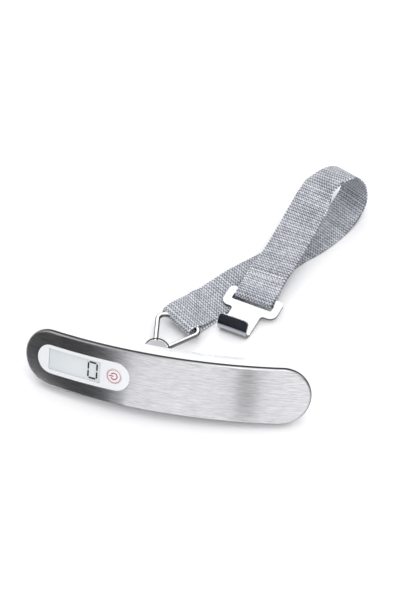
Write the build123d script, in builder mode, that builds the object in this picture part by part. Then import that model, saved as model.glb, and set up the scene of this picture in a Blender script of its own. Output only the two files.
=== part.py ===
from build123d import *
import os
from math import acos, asin, atan2, cos, degrees, radians, sin, sqrt, tan

# A digital luggage scale: an arched handle with a stainless front plate, a display and a
# power button at its left end, and at its back a pull eye with a delta ring, a webbing
# strap and a flat sheet-metal hook. The handle stands on its lower side, leaning back,
# and the strap lies behind it, turned over in one open loop.
# Millimetres. +X runs along the handle to its right end, +Y to its back, +Z up.

# ---------------------------------------------------------------- driving dimensions
# handle
handle_length = 170.0
plate_half_height = 17.5
arch_radius = 227.0
side_taper = 18.7          # degrees, each long side of the housing narrows to the back
belly_half_height = 18.3
belly_depth = 8.0
taper_end_depth = 23.0
housing_depth = 30.0
seam_depth = 2.6
wall = 2.0

# front plate
plate_thickness = 0.6
plate_rim_depth = 2.5
plate_rim_radius = 1.6

# display end; s is the distance along the arch from the handle's middle
inlay_s = -48.05
inlay_length = 59.5
inlay_height = 17.8
inlay_thickness = 2.1
display_s = -53.4
display_width = 33.9
display_height = 13.2
button_s = -27.8
button_diameter = 9.0
button_travel = 0.4
board_s = -44.0
board_depth = 6.4

# pull line: load cell, stud, boss and eye
pull_x = -13.0
boss_diameter = 16.0
boss_front_depth = 31.5
boss_end_depth = 46.0
stud_radius = 2.5
eye_depth = 51.0
eye_radius = 3.85
eye_thickness = 3.0
eye_hole_radius = 2.2

# battery
battery_s = 52.0
battery_diameter = 20.0
battery_thickness = 3.2
battery_front_depth = 18.4
cap_back_depth = 25.3

# delta ring
wire_radius = 1.5
ring_height = 26.5
ring_half_width = 16.0
ring_bend_radius = 4.5
ring_heading = 74.0        # degrees in plan, from the eye towards the strap
ring_roll = 4.0            # degrees, its right corner hangs a little lower

# webbing strap
strap_width = 25.0
strap_thickness = 1.2
ring_leg_heading = 59.1
ring_leg_length = 132.0
loop_heading = 68.0
loop_radius = 17.3
loop_x = 65.5              # middle of the loop's curl, from the handle's middle
loop_y = 197.8
loop_end_angle = 100.0     # degrees above the horizontal where the strap leaves the loop
strap_floor_height = 0.65  # middle of the webbing where it lies on the surface

# hook
hook_x = 33.2
hook_y = 105.4             # from the handle's middle
hook_height = 5.6
hook_heading = 75.0
hook_tilt = 10.2
hook_thickness = 1.4
hook_head_half_width = 18.2
hook_neck_half_width = 9.6
hook_slot_half_width = 13.4
hook_bend_radius = 4.6

# the handle's middle stands this far in front of the origin
handle_y = -106.82

running_gap = 0.1
fit_gap = 0.05

# ---------------------------------------------------------------- the handle's frame
arch_half_angle = degrees(
    asin(handle_length / 2 / sqrt(arch_radius**2 + plate_half_height**2))
    - atan2(plate_half_height, arch_radius)
)
end_s = radians(arch_half_angle) * arch_radius

# The tapered side of the two round ends touches the surface along one line each.
touch_angle = asin(tan(radians(side_taper)) * tan(radians(arch_half_angle)))
lean = acos(cos(radians(side_taper)) * cos(touch_angle))
face_height = (
    belly_half_height * cos(touch_angle) * cos(lean)
    + belly_half_height * sin(touch_angle) * sin(radians(arch_half_angle)) * sin(lean)
    + belly_depth * cos(radians(arch_half_angle)) * sin(lean)
    + arch_radius * (1 - cos(radians(arch_half_angle))) * sin(lean)
)

# local x runs along the handle, local y across it, local z out of the front
face_plane = Plane(
    origin=(0, handle_y, face_height), x_dir=(1, 0, 0), z_dir=(0, -cos(lean), sin(lean))
)
arch_axis = Axis(face_plane.offset(-arch_radius).origin, face_plane.y_dir)


def arch_plane(s, depth=0.0):
    """The plane that touches the arched face at s, moved back by depth."""
    within = max(-end_s, min(end_s, s))
    angle = within / arch_radius
    beyond = s - within
    x = arch_radius * sin(angle) + beyond * cos(angle)
    z = arch_radius * (cos(angle) - 1) - beyond * sin(angle)
    touching = Plane(face_plane.location * Location((x, 0, z), (0, degrees(angle), 0)))
    return touching.offset(-depth)


def section_plane(s):
    """The cross-section at s: local x across the handle, local y out of the front."""
    touching = arch_plane(s)
    return Plane(origin=touching.origin, x_dir=touching.y_dir, z_dir=touching.x_dir)


def arched(draw_section, mode=Mode.ADD):
    """Sweeps a section along the arch and turns half of it round each end."""
    left = section_plane(-end_s)
    right = section_plane(end_s)
    with BuildSketch(left, mode=Mode.PRIVATE) as whole:
        draw_section()
    revolve(whole.sketch, axis=arch_axis, revolution_arc=2 * arch_half_angle, mode=mode)
    for plane, turn in ((left, 180), (right, -180)):
        with BuildSketch(plane, mode=Mode.PRIVATE) as half:
            draw_section()
            with Locations((-2 * housing_depth, 0)):
                Rectangle(4 * housing_depth, 6 * housing_depth, mode=Mode.SUBTRACT)
        revolve(
            half.sketch,
            axis=Axis(plane.origin, plane.y_dir),
            revolution_arc=turn,
            mode=mode,
        )


def slab(half_height, front, back, radius=0.0):
    """Draws a flat section from one depth to another, with its front corners rounded."""
    with Locations((0, -(front + back) / 2)):
        Rectangle(2 * half_height, back - front)
    if radius:
        corners = BuildSketch._get_context().vertices().group_by(Axis.Y)[-1]
        fillet(corners, radius)


def housing_section(inset=0.0):
    """Draws the housing's outline: a low belly, tapered sides and a rounded back."""
    taper = radians(side_taper)
    down = (-sin(taper), -cos(taper))
    half = belly_half_height - inset
    end = half - (taper_end_depth - belly_depth) * tan(taper)
    back = -(housing_depth - inset)
    front = -seam_depth
    shoulder = half - 1.1
    with BuildLine() as outline:
        Bezier(
            (shoulder, front),
            (half - 2.8 * down[0], -belly_depth - 2.8 * down[1]),
            (half, -belly_depth),
        )
        Line((half, -belly_depth), (end, -taper_end_depth))
        Bezier(
            (end, -taper_end_depth),
            (end + 4.5 * down[0], -taper_end_depth + 4.5 * down[1]),
            (end * 0.55, back),
            (0, back),
        )
        mirror(about=Plane.YZ)
        Line((-shoulder, front), (shoulder, front))
    make_face(outline.edges())


# ---------------------------------------------------------------- cutting shapes
with BuildPart() as inlay_pocket:
    arched(lambda: slab(plate_half_height, -2.0, inlay_thickness + 0.15))
    with BuildSketch(arch_plane(inlay_s)):
        SlotOverall(inlay_length + 2 * running_gap, inlay_height + 2 * running_gap)
    extrude(amount=8, both=True, mode=Mode.INTERSECT)

# ---------------------------------------------------------------- front plate
with BuildPart() as front_plate:
    arched(lambda: slab(plate_half_height, 0.0, plate_rim_depth, plate_rim_radius))
    arched(
        lambda: slab(
            plate_half_height - plate_thickness,
            plate_thickness,
            plate_rim_depth + 1,
            plate_rim_radius - plate_thickness,
        ),
        mode=Mode.SUBTRACT,
    )
    add(inlay_pocket.part, mode=Mode.SUBTRACT)

# ---------------------------------------------------------------- chassis under the plate
chassis_back_depth = 4.0
chassis_half_height = plate_half_height - plate_thickness - 0.15
post_s = 75.5
post_radius = 3.0
post_back_depth = 22.0

with BuildPart() as chassis:
    arched(
        lambda: slab(
            chassis_half_height,
            plate_thickness + fit_gap,
            plate_rim_depth,
            plate_rim_radius - plate_thickness,
        )
    )
    arched(lambda: slab(belly_half_height - 1.1 - wall - 0.2, plate_rim_depth, chassis_back_depth))
    for s in (-post_s, post_s):
        with BuildSketch(arch_plane(s, chassis_back_depth)):
            Circle(post_radius)
        extrude(amount=-(post_back_depth - chassis_back_depth))
        with BuildSketch(arch_plane(s, post_back_depth)):
            Circle(1.25)
        extrude(amount=10, mode=Mode.SUBTRACT)
    add(inlay_pocket.part, mode=Mode.SUBTRACT)
    with BuildSketch(arch_plane(inlay_s)):
        SlotOverall(inlay_length - 3.0, inlay_height - 3.0)
    extrude(amount=12, both=True, mode=Mode.SUBTRACT)

# ---------------------------------------------------------------- rear housing
flare_front_depth = 26.5
flare_radius = 11.0
cap_radius = 11.2
cell_depth = 13.0
cell_thickness = 7.0
cell_post_x = (20.0, 28.0)


def well(radius, front, back, mode=Mode.ADD):
    """A round boss or hole of the battery well, between two depths."""
    with BuildSketch(arch_plane(battery_s, front), mode=Mode.PRIVATE) as disc:
        Circle(radius)
    extrude(disc.sketch, amount=-(back - front), mode=mode)


with BuildPart() as rear_housing:
    arched(housing_section)
    arched(lambda: housing_section(wall), mode=Mode.SUBTRACT)
    # the boss flares out of the back
    with BuildSketch(face_plane.offset(-flare_front_depth)):
        with Locations((pull_x, 0)):
            Circle(flare_radius)
    with BuildSketch(face_plane.offset(-boss_front_depth + running_gap)):
        with Locations((pull_x, 0)):
            Circle(boss_diameter / 2)
    loft()
    with BuildSketch(face_plane.offset(-cell_depth - cell_thickness - 3)):
        with Locations((pull_x, 0)):
            Circle(5.0)
    extrude(amount=-20, mode=Mode.SUBTRACT)
    # posts that the load cell is screwed to
    with BuildSketch(face_plane.offset(-cell_depth - cell_thickness - fit_gap)):
        with Locations(*[(x, 0) for x in cell_post_x]):
            Circle(3.6)
    extrude(amount=-10.2)
    with BuildSketch(face_plane.offset(-cell_depth)):
        with Locations(*[(x, 0) for x in cell_post_x]):
            Circle(1.25)
    extrude(amount=-cell_thickness - 6, mode=Mode.SUBTRACT)
    # screw holes for the two chassis posts
    for s in (-post_s, post_s):
        with BuildSketch(arch_plane(s, post_back_depth + 0.1)):
            Circle(3.6)
        extrude(amount=-6)
        with BuildSketch(arch_plane(s, post_back_depth)):
            Circle(1.7)
        extrude(amount=-12, mode=Mode.SUBTRACT)
        with BuildSketch(arch_plane(s, post_back_depth + 2.2)):
            Circle(3.0)
        extrude(amount=-12, mode=Mode.SUBTRACT)
    # battery well with its round seat
    well(cap_radius + 1.1, battery_front_depth - 0.8, cap_back_depth)
    well(cap_radius + 0.9, cap_back_depth, housing_depth + 4, mode=Mode.SUBTRACT)
    well(battery_diameter / 2 + 0.3, 5.0, housing_depth, mode=Mode.SUBTRACT)
    well(cap_radius + running_gap, cap_back_depth - 1.7, housing_depth, mode=Mode.SUBTRACT)
    with BuildSketch(arch_plane(battery_s, battery_front_depth - 1)):
        with Locations((-battery_diameter / 2 - 0.5, 0)):
            Rectangle(2.0, 5.0)
    extrude(amount=-4.6, mode=Mode.SUBTRACT)

# ---------------------------------------------------------------- display end
with BuildPart() as display_bezel:
    arched(lambda: slab(plate_half_height, 0.1, inlay_thickness))
    with BuildSketch(arch_plane(inlay_s)):
        SlotOverall(inlay_length, inlay_height)
    extrude(amount=8, both=True, mode=Mode.INTERSECT)
    with BuildSketch(arch_plane(display_s)):
        RectangleRounded(display_width, display_height, 0.5)
    extrude(amount=8, both=True, mode=Mode.SUBTRACT)
    with BuildSketch(arch_plane(button_s)):
        Circle(button_diameter / 2 + 0.15)
    extrude(amount=8, both=True, mode=Mode.SUBTRACT)


def display_block(width, height, front, back):
    """A flat rectangular layer of the display between two depths."""
    with BuildSketch(arch_plane(display_s, front), mode=Mode.PRIVATE) as layer:
        Rectangle(width, height)
    extrude(layer.sketch, amount=-(back - front))


lens_front = 0.8
lens_back = 1.3
glass_back = 2.9

with BuildPart() as display_lens:
    display_block(display_width - 0.2, display_height - 0.2, lens_front, lens_back)

with BuildPart() as lcd_glass:
    display_block(display_width - 0.3, display_height - 0.3, lens_back + 0.1, glass_back)

with BuildPart() as lcd_connector:
    with BuildSketch(arch_plane(display_s, glass_back)):
        with Locations((0, 5.0), (0, -5.0)):
            Rectangle(28, 2.0)
    extrude(amount=-2.2)

# seven-segment zero, standing at the right of the display
digit_height = 9.8
digit_width = 5.6
segment = 1.05
digit_x = 11.6

with BuildPart() as lcd_digit:
    with BuildSketch(arch_plane(display_s, lens_back + 0.09)):
        with Locations((digit_x, digit_height / 2), (digit_x, -digit_height / 2)):
            SlotOverall(digit_width - 1.0, segment)
        with Locations(*[
            (digit_x + side * digit_width / 2, up * digit_height / 4)
            for side in (-1, 1) for up in (-1, 1)
        ]):
            SlotOverall(digit_height / 2 - 0.7, segment, rotation=90)
    extrude(amount=0.06)

# ---------------------------------------------------------------- power button
button_front = 0.0
flange_front = inlay_thickness + 0.3
button_back = 4.8

with BuildPart() as power_button:
    with BuildSketch(arch_plane(button_s, button_front)):
        Circle(button_diameter / 2)
    extrude(amount=-(flange_front + 0.8))
    with BuildSketch(arch_plane(button_s, flange_front)):
        Circle(button_diameter / 2 + 0.9)
    extrude(amount=-0.8)
    with BuildSketch(arch_plane(button_s, flange_front)):
        Circle(1.5)
    extrude(amount=-(button_back - flange_front))
    fillet(edges().group_by(Axis(face_plane.origin, face_plane.z_dir))[-1], 0.3)

# printed marks: a thin ring with the usual open circle and bar, lying on its side
with BuildPart() as button_marks:
    with BuildSketch(arch_plane(button_s, button_front)):
        Circle(button_diameter / 2 - 0.35)
        Circle(button_diameter / 2 - 0.65, mode=Mode.SUBTRACT)
    extrude(amount=0.05)
    with BuildSketch(arch_plane(button_s, button_front)):
        Circle(2.25)
        Circle(1.65, mode=Mode.SUBTRACT)
        with Locations((-2.0, 0)):
            Rectangle(3.0, 1.9, mode=Mode.SUBTRACT)
        with Locations((-1.7, 0)):
            SlotOverall(2.9, 0.6)
    extrude(amount=0.05)

# ---------------------------------------------------------------- circuit board
board_length = 50.0
board_height = 25.0
board_thickness = 1.2

with BuildPart() as circuit_board:
    with BuildSketch(arch_plane(board_s, board_depth)):
        RectangleRounded(board_length, board_height, 1.5)
        with GridLocations(board_length - 5, board_height - 5, 2, 2):
            Circle(1.0, mode=Mode.SUBTRACT)
    extrude(amount=-board_thickness)

with BuildPart() as controller_chip:
    with BuildSketch(arch_plane(board_s, board_depth + board_thickness)):
        with Locations((4, 0)):
            Rectangle(7, 7)
    extrude(amount=-1.4)
    chamfer(faces().sort_by(Axis(face_plane.origin, face_plane.z_dir))[0].edges(), 0.3)

with BuildPart() as button_dome:
    dome_plane = arch_plane(board_s, board_depth)
    with BuildSketch(dome_plane):
        with Locations((button_s - board_s, 0)):
            Circle(3.0)
    extrude(amount=0.35, taper=40)

# ---------------------------------------------------------------- load cell
cell_left = pull_x - 8.0
cell_right = 33.0
cell_height = 12.0
waist_x = 5.0

with BuildPart() as load_cell:
    with BuildSketch(face_plane.offset(-cell_depth)):
        with Locations(((cell_left + cell_right) / 2, 0)):
            Rectangle(cell_right - cell_left, cell_height)
        with Locations((pull_x, 0)):
            Circle(stud_radius + running_gap, mode=Mode.SUBTRACT)
        with Locations(*[(x, 0) for x in cell_post_x]):
            Circle(1.65, mode=Mode.SUBTRACT)
    extrude(amount=-cell_thickness)
    # the double hole that makes the beam bend like a parallelogram
    waist = Plane(
        origin=face_plane.offset(-cell_depth - cell_thickness / 2).origin,
        x_dir=(1, 0, 0),
        z_dir=face_plane.y_dir,
    )
    with BuildSketch(waist):
        with Locations((waist_x - 4, 0), (waist_x + 4, 0)):
            Circle(2.7)
        with Locations((waist_x, 0)):
            Rectangle(8, 1.6)
    extrude(amount=cell_height, both=True, mode=Mode.SUBTRACT)

with BuildPart() as strain_gauges:
    for depth, lift in ((cell_depth, 0.2), (cell_depth + cell_thickness, -0.2)):
        with BuildSketch(face_plane.offset(-depth)):
            with Locations((waist_x - 4, 0), (waist_x + 4, 0)):
                Rectangle(5, 4)
        extrude(amount=lift)

with BuildPart() as cell_screws:
    with BuildSketch(face_plane.offset(-cell_depth)):
        with Locations(*[(x, 0) for x in cell_post_x]):
            Circle(2.8)
    extrude(amount=1.8)
    with BuildSketch(face_plane.offset(-cell_depth)):
        with Locations(*[(x, 0) for x in cell_post_x]):
            Circle(1.2)
    extrude(amount=-cell_thickness - 5)
    with BuildSketch(face_plane.offset(-cell_depth + 1.8)):
        with Locations(*[(x, 0) for x in cell_post_x]):
            Rectangle(3.4, 0.6)
            Rectangle(0.6, 3.4)
    extrude(amount=-0.9, mode=Mode.SUBTRACT)

# ---------------------------------------------------------------- pull boss, stud, eye
with BuildPart() as pull_boss:
    with BuildSketch(face_plane.offset(-boss_front_depth)):
        with Locations((pull_x, 0)):
            Circle(boss_diameter / 2)
    extrude(amount=-(boss_end_depth - boss_front_depth))
    fillet(edges().group_by(Axis(face_plane.origin, face_plane.z_dir))[0], 3.5)
    with BuildSketch(face_plane.offset(-boss_front_depth)):
        with Locations((pull_x, 0)):
            Circle(5.0 - fit_gap)
    extrude(amount=5.0)
    with BuildSketch(face_plane.offset(-boss_front_depth + 6)):
        with Locations((pull_x, 0)):
            Circle(stud_radius + 0.5)
    extrude(amount=-30, mode=Mode.SUBTRACT)

with BuildPart() as boss_collar:
    with BuildSketch(face_plane.offset(-boss_end_depth - fit_gap)):
        with Locations((pull_x, 0)):
            Circle(boss_diameter / 2 - 2.2)
            Circle(stud_radius + 0.5, mode=Mode.SUBTRACT)
    extrude(amount=-1.0)

ring_axis = Vector(cos(radians(ring_heading)), sin(radians(ring_heading)), 0)
bar_axis = Vector(ring_axis.Y, -ring_axis.X, 0) * cos(radians(ring_roll))
bar_axis = bar_axis - Vector(0, 0, sin(radians(ring_roll)))
eye_point = face_plane.offset(-eye_depth).origin + Vector(pull_x, 0, 0)
eye_plane = Plane(origin=eye_point, x_dir=ring_axis, z_dir=bar_axis)
nut_front_depth = cell_depth - 4.2

with BuildPart() as pull_eye:
    with BuildSketch(face_plane.offset(-nut_front_depth + 1.0)):
        with Locations((pull_x, 0)):
            Circle(stud_radius)
    extrude(amount=-(eye_depth - nut_front_depth - 1.0))
    with BuildSketch(eye_plane):
        Circle(eye_radius)
    extrude(amount=eye_thickness / 2, both=True)
    with BuildSketch(eye_plane):
        Circle(eye_hole_radius)
    extrude(amount=20, both=True, mode=Mode.SUBTRACT)

with BuildPart() as stud_nut:
    with BuildSketch(face_plane.offset(-nut_front_depth)):
        with Locations((pull_x, 0)):
            RegularPolygon(4.0, 6, major_radius=False)
            Circle(stud_radius + 0.02, mode=Mode.SUBTRACT)
    extrude(amount=-3.2)

with BuildPart() as stud_washer:
    with BuildSketch(face_plane.offset(-cell_depth + 0.95)):
        with Locations((pull_x, 0)):
            Circle(5.0)
            Circle(stud_radius + fit_gap, mode=Mode.SUBTRACT)
    extrude(amount=-0.9)

# ---------------------------------------------------------------- battery, cap, contacts
with BuildPart() as coin_battery:
    well(battery_diameter / 2, battery_front_depth, battery_front_depth + battery_thickness)
    fillet(edges().filter_by(GeomType.CIRCLE), 0.5)

with BuildPart() as battery_cap:
    well(cap_radius, cap_back_depth - 1.6, cap_back_depth)
    well(battery_diameter / 2, battery_front_depth + battery_thickness + 0.2, cap_back_depth - 1.6)
    with BuildSketch(arch_plane(battery_s, cap_back_depth)):
        SlotOverall(15, 1.8)
    extrude(amount=0.9, mode=Mode.SUBTRACT)

contact_front_depth = battery_front_depth - 1.3
contact_sheet = 0.4
rim_width = 3.5

with BuildPart() as battery_contacts:
    # a bridge across the well, dimpled down to the middle of the battery
    with BuildSketch(arch_plane(battery_s, contact_front_depth)):
        Rectangle(4, 2 * cap_radius + 0.8)
    extrude(amount=-contact_sheet)
    with BuildSketch(arch_plane(battery_s, contact_front_depth + contact_sheet)):
        Circle(1.6)
    extrude(amount=-(battery_front_depth - contact_front_depth - contact_sheet))
    # a tab that stands beside the battery
    with BuildSketch(arch_plane(battery_s, contact_front_depth)):
        with Locations((-battery_diameter / 2 - 0.1 - rim_width / 2, 0)):
            Rectangle(rim_width, 4)
    extrude(amount=-contact_sheet)
    with BuildSketch(arch_plane(battery_s, contact_front_depth + contact_sheet)):
        with Locations((-battery_diameter / 2 - 0.1 - contact_sheet / 2, 0)):
            Rectangle(contact_sheet, 4)
    extrude(amount=-4.0)

# ---------------------------------------------------------------- leads inside the handle


def lead(points, radius):
    """A thin insulated lead along straight runs with rounded turns."""
    with BuildLine(mode=Mode.PRIVATE) as route:
        FilletPolyline(*points, radius=3.0)
    start = Plane(origin=route.line @ 0, z_dir=route.line % 0)
    with BuildSketch(start, mode=Mode.PRIVATE) as wire:
        Circle(radius)
    sweep(wire.sketch, path=route.line)


def inside(s, across, depth):
    """A point inside the handle, from its place along the arch, across it and deep."""
    return arch_plane(s, depth).from_local_coords((0, across, 0))


lead_radius = 0.6
with BuildPart() as sensor_leads:
    for across in (-8.0, 8.0):
        lead(
            [
                inside(-24, across, board_depth + board_thickness + 0.7),
                inside(-12, across, board_depth + board_thickness + 2.2),
                inside(-4, across * 0.85, cell_depth - 2.4),
                inside(5, across * 0.85, cell_depth - 2.0),
            ],
            lead_radius,
        )

lead_start_depth = board_depth + board_thickness + 0.7
with BuildPart() as battery_leads:
    lead(
        [
            inside(-22, 11.5, lead_start_depth),
            inside(0, 11.5, lead_start_depth),
            inside(28, 11.5, lead_start_depth + 1.5),
            inside(42, 10.6, contact_front_depth - 1.3),
            inside(51, 10.2, contact_front_depth - 0.9),
        ],
        lead_radius,
    )
    lead(
        [
            inside(-22, 9.9, lead_start_depth),
            inside(0, 9.9, lead_start_depth),
            inside(26, 9.9, lead_start_depth + 1.5),
            inside(36.5, 8.8, contact_front_depth - 1.8),
            inside(41, 1.0, contact_front_depth - 0.9),
        ],
        lead_radius,
    )

# ---------------------------------------------------------------- housing screws
with BuildPart() as housing_screws:
    for s in (-post_s, post_s):
        with BuildSketch(arch_plane(s, post_back_depth + 2.2)):
            Circle(2.7)
        extrude(amount=-1.8)
        with BuildSketch(arch_plane(s, post_back_depth + 2.2)):
            Circle(1.2)
        extrude(amount=9)
        with BuildSketch(arch_plane(s, post_back_depth + 4.0)):
            Rectangle(3.2, 0.6)
            Rectangle(0.6, 3.2)
        extrude(amount=0.9, mode=Mode.SUBTRACT)

# ---------------------------------------------------------------- delta ring
ring_plane = Plane(origin=eye_point, x_dir=bar_axis, z_dir=bar_axis.cross(ring_axis))
side_angle = atan2(ring_half_width, ring_height + 7.0)
apex_setback = ring_bend_radius * (1 / sin(side_angle) - 1)

with BuildPart() as delta_ring:
    with BuildLine(ring_plane) as ring_path:
        FilletPolyline(
            (0, -apex_setback),
            (ring_half_width, ring_height),
            (-ring_half_width, ring_height),
            radius=ring_bend_radius,
            close=True,
        )
    with BuildSketch(Plane(origin=ring_path.line @ 0, z_dir=ring_path.line % 0)):
        Circle(wire_radius)
    sweep(path=ring_path.line)

# ---------------------------------------------------------------- webbing strap
bar_point = ring_plane.from_local_coords((0, ring_height, 0))


def upright_plane(point, heading):
    """A standing plane: local x along the heading, local y up, local z to the right."""
    along = radians(heading)
    return Plane(
        origin=(point.X, point.Y, 0),
        x_dir=(cos(along), sin(along), 0),
        z_dir=(sin(along), -cos(along), 0),
    )


ring_leg_plane = upright_plane(bar_point, ring_leg_heading)
sleeve_half_length = 5.2
sleeve_half_height = 2.4
fold_half_width = 9.2      # the fold is drawn in between the ring's corners
join_gap = 0.15

loop_plane = upright_plane(Vector(loop_x, loop_y + handle_y, 0), loop_heading)
loop_lead = 11.5           # the strap lies flat this far before it curls up
loop_height = strap_floor_height + loop_radius
lower_join_point = loop_plane.from_local_coords((-loop_lead, strap_floor_height, 0))
lower_join_heading = radians((ring_leg_heading + loop_heading) / 2)
lower_join = Plane(
    origin=lower_join_point,
    z_dir=(cos(lower_join_heading), sin(lower_join_heading), 0),
)

with BuildPart() as strap_ring_leg:
    with BuildSketch(ring_leg_plane):
        with Locations((0, bar_point.Z)):
            SlotOverall(
                2 * (sleeve_half_length + strap_thickness),
                2 * (sleeve_half_height + strap_thickness),
            )
            SlotOverall(2 * sleeve_half_length, 2 * sleeve_half_height, mode=Mode.SUBTRACT)
    extrude(amount=strap_width / 2, both=True)
    with BuildSketch(ring_leg_plane):
        with BuildLine():
            FilletPolyline(
                (sleeve_half_length + strap_thickness / 2, bar_point.Z),
                (sleeve_half_length + 7.5, bar_point.Z - 1.2),
                (sleeve_half_length + 20, strap_floor_height),
                (ring_leg_length + 8, strap_floor_height),
                radius=15,
            )
        trace(line_width=strap_thickness)
    extrude(amount=strap_width / 2, both=True)
    for side in (-1, 1):
        with BuildSketch(ring_leg_plane.offset(side * fold_half_width)):
            with Locations((sleeve_half_length + 0.5 - 10, bar_point.Z)):
                Rectangle(20, 20)
        extrude(amount=side * 10, mode=Mode.SUBTRACT)
    split(bisect_by=lower_join.offset(-join_gap), keep=Keep.BOTTOM)

with BuildPart() as strap_loop:
    with BuildSketch(loop_plane):
        with BuildLine():
            Line((-loop_lead - 6, strap_floor_height), (0, strap_floor_height))
            CenterArc((0, loop_height), loop_radius, -90, 90 + loop_end_angle)
        trace(line_width=strap_thickness)
    extrude(amount=strap_width / 2, both=True)
    split(bisect_by=lower_join.offset(join_gap), keep=Keep.TOP)

# the upper leg runs straight from the hook to the top of the loop
hook_point = Vector(hook_x, hook_y + handle_y, hook_height)
upper_join_point = loop_plane.from_local_coords((
    loop_radius * cos(radians(loop_end_angle)),
    loop_height + loop_radius * sin(radians(loop_end_angle)),
    -3.0,
))
hook_leg_run = upper_join_point - hook_point
hook_leg_heading = degrees(atan2(hook_leg_run.Y, hook_leg_run.X))
hook_leg_plane = upright_plane(hook_point, hook_leg_heading)
hook_leg_end = hook_leg_plane.to_local_coords(upper_join_point)
hook_sleeve_center = 0.3
hook_sleeve_half_length = 5.0
hook_sleeve_half_height = 2.2

with BuildPart() as strap_hook_leg:
    with BuildSketch(hook_leg_plane):
        with Locations((hook_sleeve_center, hook_height)):
            SlotOverall(
                2 * (hook_sleeve_half_length + strap_thickness),
                2 * (hook_sleeve_half_height + strap_thickness),
            )
            SlotOverall(
                2 * hook_sleeve_half_length, 2 * hook_sleeve_half_height, mode=Mode.SUBTRACT
            )
    extrude(amount=strap_width / 2, both=True)
    with BuildSketch(hook_leg_plane):
        with BuildLine():
            FilletPolyline(
                (hook_sleeve_center + hook_sleeve_half_length + strap_thickness / 2, hook_height),
                (13, hook_height + 2.3),
                (60, 26.5),
                (hook_leg_end.X - 3.4, hook_leg_end.Y - 0.6),
                radius=30,
            )
        trace(line_width=strap_thickness)
    extrude(amount=strap_width / 2, both=True)

# ---------------------------------------------------------------- hook
hook_along = radians(hook_heading)
hook_rise = radians(hook_tilt)
hook_plane = Plane(
    origin=hook_point,
    x_dir=(sin(hook_along), -cos(hook_along), 0),
    z_dir=(
        -cos(hook_along) * sin(hook_rise),
        -sin(hook_along) * sin(hook_rise),
        cos(hook_rise),
    ),
)
bar_half = 2.1
slot_bottom = -7.0
head_bottom = -12.4
head_top = 2.4
bend_start = -26.8
lip_turn = 128.0
lip_length = 5.4
lip_corner = 2.4

with BuildPart() as strap_hook:
    with BuildSketch(hook_plane.offset(-hook_thickness / 2)) as blank:
        with Locations((0, (head_bottom + head_top) / 2)):
            Rectangle(2 * hook_head_half_width, head_top - head_bottom)
        fillet(blank.vertices().group_by(Axis.Y)[0], 4.6)
        fillet(blank.vertices().group_by(Axis.Y)[-1], 3.0)
        with Locations((0, (bend_start + head_bottom) / 2 + 0.5)):
            Rectangle(2 * hook_neck_half_width, head_bottom - bend_start + 1)
        neck_corners = [
            v for v in blank.vertices()
            if abs(abs(v.X) - hook_neck_half_width) < 0.01 and abs(v.Y - head_bottom) < 0.01
        ]
        fillet(neck_corners, 2.0)
        with Locations((0, (slot_bottom - bar_half) / 2)):
            RectangleRounded(
                2 * hook_slot_half_width, -bar_half - slot_bottom, 1.0, mode=Mode.SUBTRACT
            )
    extrude(amount=hook_thickness)
    # the end is rolled up and over into an open lip
    side_view = Plane(
        origin=hook_plane.origin, x_dir=hook_plane.y_dir, z_dir=hook_plane.x_dir
    )
    with BuildSketch(side_view):
        with BuildLine():
            roll = CenterArc((bend_start, hook_bend_radius), hook_bend_radius, -90, -lip_turn)
            Line(roll @ 1, roll @ 1 + (roll % 1) * lip_length)
        trace(line_width=hook_thickness)
    lip_end = roll @ 1 + (roll % 1) * lip_length
    extrude(amount=hook_neck_half_width, both=True)
    fillet(
        [
            e for e in edges()
            if abs(side_view.to_local_coords(e.center()).X - lip_end.X) < 0.6
            and abs(side_view.to_local_coords(e.center()).Y - lip_end.Y) < 0.6
            and abs(abs(side_view.to_local_coords(e.center()).Z) - hook_neck_half_width) < 0.01
            and abs(e.length - hook_thickness) < 0.05
        ],
        lip_corner,
    )

# ---------------------------------------------------------------- write the parts
pieces = {
    "front_plate": front_plate,
    "chassis": chassis,
    "rear_housing": rear_housing,
    "display_bezel": display_bezel,
    "display_lens": display_lens,
    "lcd_glass": lcd_glass,
    "lcd_digit": lcd_digit,
    "lcd_connector": lcd_connector,
    "power_button": power_button,
    "button_marks": button_marks,
    "button_dome": button_dome,
    "circuit_board": circuit_board,
    "controller_chip": controller_chip,
    "load_cell": load_cell,
    "strain_gauges": strain_gauges,
    "cell_screws": cell_screws,
    "pull_boss": pull_boss,
    "boss_collar": boss_collar,
    "pull_eye": pull_eye,
    "stud_nut": stud_nut,
    "stud_washer": stud_washer,
    "coin_battery": coin_battery,
    "battery_cap": battery_cap,
    "battery_contacts": battery_contacts,
    "sensor_leads": sensor_leads,
    "battery_leads": battery_leads,
    "housing_screws": housing_screws,
    "delta_ring": delta_ring,
    "strap_ring_leg": strap_ring_leg,
    "strap_loop": strap_loop,
    "strap_hook_leg": strap_hook_leg,
    "strap_hook": strap_hook,
}
for name, piece in pieces.items():
    piece.part.label = name
    export_step(piece.part, f"parts/{name}.step")
print("lean", degrees(lean), "face height", face_height, "arch half angle", arch_half_angle)
print("eye", eye_point, "bar", bar_point, "hook", hook_point)
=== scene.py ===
import math

import bpy
from mathutils import Matrix, Vector


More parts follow.
